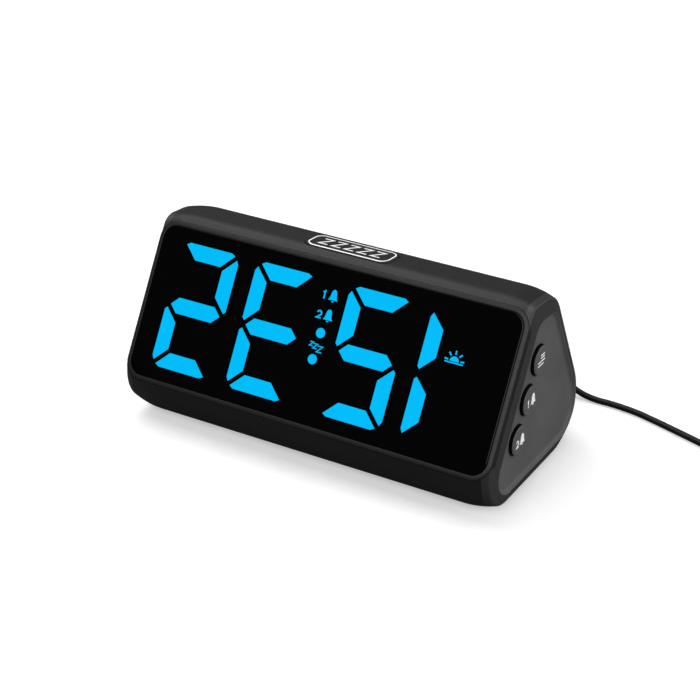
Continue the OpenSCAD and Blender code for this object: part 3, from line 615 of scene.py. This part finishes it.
# How far the recess's wall has gone in from the end, and inside its outline
RECESS_WALL = [
    (0.03, -0.1), (0.12, 0.02), (0.32, 0.14), (0.75, 0.42), (1.05, 0.7), (1.2, 0.98), (1.28, 1.35),
    (1.3, 1.8), (1.3, 2.6),
]


def on_button(side, k, a, b, out):
    """A point at a button's place: a towards the back, b up the slope, out along the clock."""
    x, y, z = on_face(0, BUTTON_UP + BUTTON_PITCH * k + b, BUTTON_BEHIND + a)
    return (side * out, y, z)


def recess_ring(x, inset):
    offsets = [o - i - inset for o, i in zip(SIDE_OFFSETS, RECESS_INSETS)]
    return at(x, outline(offsets, [r - inset for r in RECESS_RADII]))


def end_cap(side, name, node_name):
    """An end of the casing: its rounded edge, a rim that rises inwards, and the recessed panel."""
    rings = [at(side * x, skin(x)) for x in (SEAM_X, 79.7, 80.4, 81.0, 81.35)]
    for turn in (18, 36, 54, 72):
        x = HALF_W - CAP_EDGE - CAP_RISE + CAP_EDGE * sin(radians(turn))
        rings.append(at(side * x, skin(CAP_EDGE_X, CAP_EDGE * (1 - cos(radians(turn))))))
    first = at(side * (HALF_W - CAP_RISE), skin(CAP_EDGE_X, CAP_EDGE + 0.1))
    border = recess_ring(side * HALF_W, -0.3)
    rings.append(first)
    for share, lift in RIM_CURVE:
        x = side * (HALF_W - CAP_RISE + CAP_RISE * lift)
        rings.append([(x, a[1] + (b[1] - a[1]) * share, a[2] + (b[2] - a[2]) * share)
                      for a, b in zip(first, border)])
    rim_points = len(rings) * len(border)
    rings.append(border)
    rings += [recess_ring(side * (HALF_W - depth), inset) for depth, inset in RECESS_WALL]
    verts, faces = loft(rings)
    # The rounded edge and the rim take the painted-shade grey; the recess's wall and floor take the
    # panel's grey.
    marks = [0 if face[0] < rim_points else 1 for face in faces]
    marks[-2], marks[-1] = 0, 1
    cap = piece(name, verts, faces, [RIM_PAINTED_SHADE, PANEL], indices=marks, replaces=(node_name,),
                slot="end_panel", sharp=40.0)
    holes = [prism(circle(BUTTON_HOLE_R, BUTTON_STEPS), 60.0, 100.0,
                   lambda a, b, h: on_button(side, k, a, b, h)) for k in (-1, 0, 1)]
    cut(cap, [pocket()] + holes, 40.0)


end_cap(1, "end_panel_right", "end_cap_right")
end_cap(-1, "end_panel_left", "end_cap_left")

# ---------------------------------------------------------------- end buttons

BUTTON_FACE_X = HALF_W + 0.4
# Half a button's section, as places along the clock and radii: its stem and flange, and its cap,
# which is measured from the button's face
BUTTON_BACK = [(75.0, 0.001), (75.0, 2.0), (77.7, 2.0), (77.7, 7.0), (78.7, 7.0), (78.7, 6.0)]
BUTTON_EDGE = [
    (-0.38, 6.0), (-0.24, 5.96), (-0.11, 5.85), (-0.03, 5.66), (0.0, 5.4), (-0.03, 4.2), (-0.06, 2.0),
]
# The end each button is on, its place down the row, and its name
BUTTONS = [
    (1, 1, "menu"), (1, 0, "alarm_1"), (1, -1, "alarm_2"),
    (-1, 1, "up"), (-1, 0, "down"), (-1, -1, "dimmer"),
]


def button(side, k, word):
    section = BUTTON_BACK + [(BUTTON_FACE_X + x, r) for x, r in BUTTON_EDGE]
    verts, faces = loft([[on_button(side, k, a, b, out) for a, b in circle(r, BUTTON_STEPS)]
                         for out, r in section])
    # The stem, flange and side wall take the near-black painted shade; the face and its rounded edge
    # take the button's own grey.
    marks = [0 if face[0] < BUTTON_STEPS * len(BUTTON_BACK) else 1 for face in faces]
    marks[-2], marks[-1] = 0, 1
    piece(word + "_cap", verts, faces, [BUTTON_SIDE_PAINTED_SHADE, BUTTON_FACE], body=word + "_button",
          indices=marks, replaces=("button_" + word,), slot="button", sharp=40.0)


for side, k, word in BUTTONS:
    button(side, k, word)

# ---------------------------------------------------------------- prints


def ribbon(points, width, closed=False):
    """The left and right edges of a line of even width with mitred corners."""
    n = len(points)
    left, right = [], []
    for i, p in enumerate(points):
        before = points[(i - 1) % n] if closed or i else p
        after = points[(i + 1) % n] if closed or i < n - 1 else p
        d1 = Vector((p[0] - before[0], p[1] - before[1]))
        d2 = Vector((after[0] - p[0], after[1] - p[1]))
        d1 = d1.normalized() if d1.length else d2.normalized()
        d2 = d2.normalized() if d2.length else d1
        mitre = Vector((-(d1.y + d2.y), d1.x + d2.x)).normalized()
        reach = width / 2 / max(0.4, mitre.dot(Vector((-d1.y, d1.x))))
        left.append((p[0] + mitre.x * reach, p[1] + mitre.y * reach))
        right.append((p[0] - mitre.x * reach, p[1] - mitre.y * reach))
    return left, right


def arc(cx, cy, r, start, end, steps, stretch=1.0):
    """Points along an arc between two angles, its height stretched."""
    angles = [radians(start + (end - start) * i / steps) for i in range(steps + 1)]
    return [(cx + r * cos(a), cy + stretch * r * sin(a)) for a in angles]


def disc(cx, cy, r, steps):
    return [(cx + a, cy + b) for a, b in circle(r, steps)]


class Print:
    """Gathers flat shapes into one thin raised print."""

    def __init__(self, place, thick):
        self.place, self.thick, self.verts, self.faces = place, thick, [], []

    def add(self, points):
        """Adds the points under and over the surface, and gives the first one's number."""
        base = len(self.verts)
        for h in (-self.thick, self.thick):
            self.verts += [self.place(a, b, h) for a, b in points]
        return base

    def solid(self, points):
        n, base = len(points), self.add(points)
        self.faces.append(tuple(base + i for i in range(n)))
        self.faces.append(tuple(base + n + i for i in range(n)))
        for i in range(n):
            j = (i + 1) % n
            self.faces.append((base + i, base + j, base + n + j, base + n + i))

    def line(self, points, width, closed=False):
        left, right = ribbon(points, width, closed)
        n, base = len(points), self.add(left + right)
        up = 2 * n
        for i in range(n if closed else n - 1):
            j = (i + 1) % n
            a, b, c, d = base + i, base + j, base + n + j, base + n + i
            self.faces += [(a, b, c, d), (a + up, b + up, c + up, d + up)]
            self.faces += [(a, b, b + up, a + up), (d, c, c + up, d + up)]
        if not closed:
            for i in (0, n - 1):
                a, d = base + i, base + n + i
                self.faces.append((a, d, d + up, a + up))

    def make(self, name, material, body, slot):
        piece(name, self.verts, self.faces, [material], body=body, slot=slot, sharp=20.0)


def bell(art, cx, cy, h):
    """A small bell: a dome with a flared foot, and its clapper."""
    w = h * 0.42
    side = [(w, -0.36 * h), (0.74 * w, -0.2 * h), (0.6 * w, 0.04 * h)]
    right = [(cx + a, cy + b) for a, b in side]
    left = [(cx - a, cy + b) for a, b in reversed(side)]
    dome = arc(cx, cy + 0.04 * h, 0.6 * w, 0, 180, 12, 1.75)
    art.solid(right + dome[1:-1] + left)
    art.solid(arc(cx, cy - 0.41 * h, 0.11 * h, 180, 360, 8))


def numeral(art, digit, cx, cy, h, width):
    """A plain 1 or 2."""
    w = h * 0.28
    top, bottom = cy + 0.5 * h, cy - 0.5 * h
    if digit == 1:
        stem = cx + 0.1 * w
        art.line([(cx - 0.7 * w, cy + 0.24 * h), (stem, top - width / 2), (stem, bottom)], width)
    else:
        bowl = arc(cx, top - width / 2 - w, w, 165, -35, 10)
        foot = bottom + width / 2
        art.line(bowl + [(cx - w, foot), (cx + w * 1.1, foot)], width)


def zed(art, cx, cy, w, h, width):
    left, right, top, bottom = cx - w / 2, cx + w / 2, cy + h / 2, cy - h / 2
    art.line([(left, top), (right, top), (left, bottom), (right, bottom)], width)


def menu_art(art):
    for start, end, y in ((-0.8, 2.4, 2.4), (-0.8, 2.4, 1.3), (-3.1, 2.9, -0.1), (-3.1, 1.6, -1.5)):
        art.line([(start, y), (end, y)], 0.5)


def alarm_art(digit):
    def draw(art):
        bell(art, 2.05, -0.05, 5.0)
        numeral(art, digit, -2.0, -0.6, 3.3, 0.55)
    return draw


def arrow_art(up):
    def draw(art):
        art.solid([(-2.4, -1.3 * up), (2.4, -1.3 * up), (0.0, 2.1 * up)])
    return draw


def dimmer_art(art):
    art.solid(disc(0, 0, 1.4, 24))
    for inner, outer in zip(circle(2.1, 8), circle(3.2, 8)):
        art.line([inner, outer], 0.55)


BUTTON_ART = {
    "menu": menu_art, "alarm_1": alarm_art(1), "alarm_2": alarm_art(2),
    "up": arrow_art(1), "down": arrow_art(-1), "dimmer": dimmer_art,
}
BUTTON_PRINT = 0.035


def button_print(side, k, word):
    """A print that stands upright on its button: a to the reader's right, b straight up."""
    lean = radians(LEAN)

    def place(a, b, h):
        back = side * a
        return on_button(side, k, back * cos(lean) - b * sin(lean), back * sin(lean) + b * cos(lean),
                         BUTTON_FACE_X - BUTTON_PRINT + h)

    art = Print(place, BUTTON_PRINT)
    BUTTON_ART[word](art)
    art.make(word + "_print", PRINT_WITH_PAINTED_GLOW, word + "_button", "button")


for side, k, word in BUTTONS:
    button_print(side, k, word)

# ---------------------------------------------------------------- snooze pad

PAD_W, PAD_D, PAD_R = 38.0, PAD_Y1 - PAD_Y0, 3.0
PAD_LIFT, PAD_UNDER = 0.39, -1.6
PAD_PRINT = 0.02
# The pad's section: insets across its underside and its top, which both follow the ridge, and its
# side with a rounded edge
PAD_INSETS = [1.05, 1.7, 2.4, 3.1, 3.8, 4.5, 5.2]
PAD_SIDE = [(0.0, PAD_UNDER), (0.0, 0.12), (0.04, 0.25), (0.12, 0.33), (0.25, 0.38), (0.45, PAD_LIFT)]
ridge_line = sorted([(p.x + FACE_Y, p.y + FACE_Z) for p in skin(0.0) if p.y > 20.0])


def ridge_z(y):
    """The height of the casing's top at y."""
    for (y0, z0), (y1, z1) in zip(ridge_line, ridge_line[1:]):
        if y0 <= y <= y1:
            return z0 + (z1 - z0) * (y - y0) / max(1e-9, y1 - y0)
    return ridge_line[0][1]


def pad_ring(inset, lift):
    """The pad's outline drawn in by inset, lift above the ridge."""
    shape = rounded(PAD_W - 2 * inset, PAD_D - 2 * inset, max(0.15, PAD_R - inset), 8)
    return [(a, b + PAD_MID, ridge_z(b + PAD_MID) + lift) for a, b in shape]


pad_rings = [pad_ring(inset, PAD_UNDER) for inset in reversed(PAD_INSETS)]
pad_rings += [pad_ring(inset, lift) for inset, lift in PAD_SIDE]
pad_rings += [pad_ring(inset, PAD_LIFT) for inset in PAD_INSETS]
piece("snooze_bar_top", *loft(pad_rings), [CASING], body="snooze_bar", replaces=("snooze_pad",),
      slot="casing", sharp=50.0)

# The return springs under the pad, which flatten as it is pressed, drawn here at full height
SPRING_R, WIRE_R, SPRING_TURNS, SPRING_STEPS = 2.75, 0.3, 4, 24
low, high = [Vector(corner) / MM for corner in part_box("snooze_springs")]


def spring_wire(x):
    """The centre line of the spring at x."""
    steps = SPRING_STEPS * SPRING_TURNS
    wire = []
    for i in range(steps + 1):
        turn = polar(SPRING_R, 360 / SPRING_STEPS * i)
        rise = (high.z - low.z - 2 * WIRE_R) * i / steps
        wire.append(Vector((x + turn.x, (low.y + high.y) / 2 + turn.y, low.z + WIRE_R + rise)))
    return wire


spring_verts, spring_faces = [], []
for x in (low.x + SPRING_R + WIRE_R, high.x - SPRING_R - WIRE_R):
    verts, faces = loft(tube(spring_wire(x), WIRE_R, 10))
    spring_faces += [tuple(len(spring_verts) + i for i in face) for face in faces]
    spring_verts += verts
springs = piece("snooze_return_springs", spring_verts, spring_faces, [STEEL],
                replaces=("snooze_springs",), slot="steel", sharp=60.0)
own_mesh(springs)


def on_pad(a, b, h):
    y = b + PAD_MID
    return (a, y, ridge_z(y) + PAD_LIFT + h)


def border_line():
    """The printed border. The two sides that cross the ridge are divided, to follow its curve."""
    points = []
    corners = rounded(35.4, PAD_D - 0.66, 3.2, 8)
    for (a, b), (c, d) in zip(corners, corners[1:] + corners[:1]):
        parts = 8 if abs(d - b) > 2 else 1
        points += [(a + (c - a) * i / parts, b + (d - b) * i / parts) for i in range(parts)]
    return points


art = Print(on_pad, PAD_PRINT)
art.line(border_line(), 0.6, closed=True)
for i in range(-2, 3):
    zed(art, 5.8 * i, 0.0, 3.9, 5.4, 0.7)
art.make("snooze_print", PRINT_WITH_PAINTED_GLOW, "snooze_bar", "casing")

# ---------------------------------------------------------------- lit windows

DIGIT_W, DIGIT_H, BAR_W, BAR_GAP = 27.5, 51.0, 6.4, 1.9
END_CUT, CORNER, NICK, MIDDLE_IN = BAR_GAP * sqrt(0.5), 2.6, 0.95, 0.8
LIT_THICK = 0.02
EDGE_X, EDGE_S, HALF_BAR = DIGIT_W / 2, DIGIT_H / 2, BAR_W / 2
TOP_END, UPRIGHT_END = EDGE_X - END_CUT, EDGE_S - END_CUT
TIP, WAIST = TOP_END - MIDDLE_IN, END_CUT - MIDDLE_IN
TOP = [(CORNER - TOP_END, EDGE_S), (TOP_END - CORNER, EDGE_S), (TOP_END - NICK, EDGE_S - NICK),
       (TOP_END - BAR_W, EDGE_S - BAR_W), (BAR_W - TOP_END, EDGE_S - BAR_W),
       (NICK - TOP_END, EDGE_S - NICK)]
MIDDLE = [(-TIP, 0), (HALF_BAR - TIP, HALF_BAR), (TIP - HALF_BAR, HALF_BAR),
          (TIP, 0), (TIP - HALF_BAR, -HALF_BAR), (HALF_BAR - TIP, -HALF_BAR)]
UPRIGHT = [(EDGE_X, UPRIGHT_END - CORNER), (EDGE_X, WAIST + 2 * NICK), (EDGE_X - NICK, WAIST + NICK),
           (EDGE_X - BAR_W, WAIST + BAR_W), (EDGE_X - BAR_W, UPRIGHT_END - BAR_W),
           (EDGE_X - NICK, UPRIGHT_END - NICK)]


def flipped(points, across, up):
    return [(a * across, b * up) for a, b in points]


BARS = {
    "a": TOP, "b": UPRIGHT, "c": flipped(UPRIGHT, 1, -1), "d": flipped(TOP, 1, -1),
    "e": flipped(UPRIGHT, -1, -1), "f": flipped(UPRIGHT, -1, 1), "g": MIDDLE,
}
# Each digit's place across the window, and its lit bars
DIGITS = [(-56.7, "abged"), (-21.2, "afged"), (21.2, "afgcd"), (56.7, "fe")]
SUNRISE_X, SUNRISE_S = 56.8, 7.6


def lit(x0=0.0):
    """A print in the window's surface, about x0."""
    return Print(lambda a, b, h: on_face(a + x0, b, -h), LIT_THICK)


def colon(art):
    for u, v in ((0.1, 4.6), (-0.4, -5.9)):
        art.solid(disc(u, v, 1.95, 36))


def alarm_marks(art):
    """The two numbered bells and the snooze mark."""
    for v, digit in ((19.6, 1), (11.8, 2)):
        bell(art, 1.5, v, 5.0)
        numeral(art, digit, -2.6, v - 0.3, 3.3, 0.62)
    for u, v, size in ((-2.5, -0.2, 1.5), (-0.7, -0.8, 1.8), (1.5, -1.6, 2.3)):
        zed(art, u, v, size, size, 0.42)


def sunrise(art):
    """Half a sun with rays over a line."""
    x, s = SUNRISE_X, SUNRISE_S
    art.solid(arc(x, s, 1.9, 0, 180, 20))
    art.line([(x - 3.8, s - 0.55), (x + 3.8, s - 0.55)], 0.5)
    for a in (8, 49, 90, 131, 172):
        across, up = cos(radians(a)), sin(radians(a))
        art.line([(x + 2.6 * across, s + 2.6 * up), (x + 4.1 * across, s + 4.1 * up)], 0.6)


for number, (x0, shown) in enumerate(DIGITS, 1):
    art = lit(x0)
    for bar in shown:
        art.solid(BARS[bar])
    art.make("lit_digit_%d" % number, LIT, "clock_body", "light_window")

art = lit()
colon(art)
alarm_marks(art)
sunrise(art)
art.make("lit_marks", LIT, "clock_body", "light_window")

# ---------------------------------------------------------------- floor and light

FLOOR_SIZE, FLOOR_DROP = 6.0, 0.0002
FLOOR_GLOW, FLOOR_DIM = 0.42, 0.14


def floor_material():
    """The camera sees a pale floor that glows a little. Other rays see a dim one, so that it
    throws little light back at the clock."""
    mat = surface("pale_floor", (0.90, 0.90, 0.90), 0.7, grain=300.0, bump=0.0, vary=0.01,
                  specular=0.0, emission=(1.0, 1.0, 1.0))
    tree = mat.node_tree
    shader = tree.nodes["Principled BSDF"]
    seen = node(tree, "LightPath").outputs["Is Camera Ray"]
    glow = node(tree, "Math", operation="MULTIPLY")
    glow.inputs[1].default_value = FLOOR_GLOW
    tree.links.new(seen, glow.inputs[0])
    tree.links.new(glow.outputs[0], shader.inputs["Emission Strength"])
    pale = shader.inputs["Base Color"].links[0].from_socket
    dim = node(tree, "Mix", data_type="RGBA")
    dim.inputs["A"].default_value = (FLOOR_DIM, FLOOR_DIM, FLOOR_DIM, 1)
    tree.links.new(seen, dim.inputs["Factor"])
    tree.links.new(pale, dim.inputs["B"])
    tree.links.new(dim.outputs["Result"], shader.inputs["Base Color"])
    return mat


def floor():
    half = FLOOR_SIZE / 2
    corners = [(-half, -half), (half, -half), (half, half), (-half, half)]
    mesh = bpy.data.meshes.new("floor")
    mesh.from_pydata([(x, y, -FLOOR_DROP) for x, y in corners], [], [(0, 1, 2, 3)])
    mesh.materials.append(floor_material())
    made = bpy.data.objects.new("floor", mesh)
    scene.collection.objects.link(made)


def softbox(name, place, target, width, height, power):
    data = bpy.data.lights.new(name, "AREA")
    data.shape = "RECTANGLE"
    data.size, data.size_y = width, height
    data.energy = power
    made = bpy.data.objects.new(name, data)
    made.location = place
    aim = Vector(target) - Vector(place)
    made.rotation_euler = aim.to_track_quat("-Z", "Y").to_euler()
    scene.collection.objects.link(made)


floor()

world = bpy.data.worlds.new("studio")
world.use_nodes = True
background = world.node_tree.nodes["Background"]
background.inputs["Color"].default_value = (1.0, 1.0, 1.0, 1.0)
background.inputs["Strength"].default_value = 0.15
scene.world = world

softbox("key", (-0.5, 0.05, 1.25), (0, 0, 0.03), 1.0, 1.3, 10.0)
softbox("rear", (-0.5, 0.9, 0.75), (0, 0, 0.05), 0.6, 0.5, 0.25)
softbox("fill", (1.2, 0.1, 0.38), (0.08, 0, 0.03), 0.7, 0.5, 6.0)
softbox("edge", (0.75, 1.0, 0.5), (0.08, 0.02, 0.05), 0.4, 0.4, 2.0)
softbox("front", (0.1, -1.1, 0.9), (0, 0, 0.0), 0.9, 0.6, 7.0)

scene.view_settings.view_transform = "Standard"
scene.view_settings.look = "None"
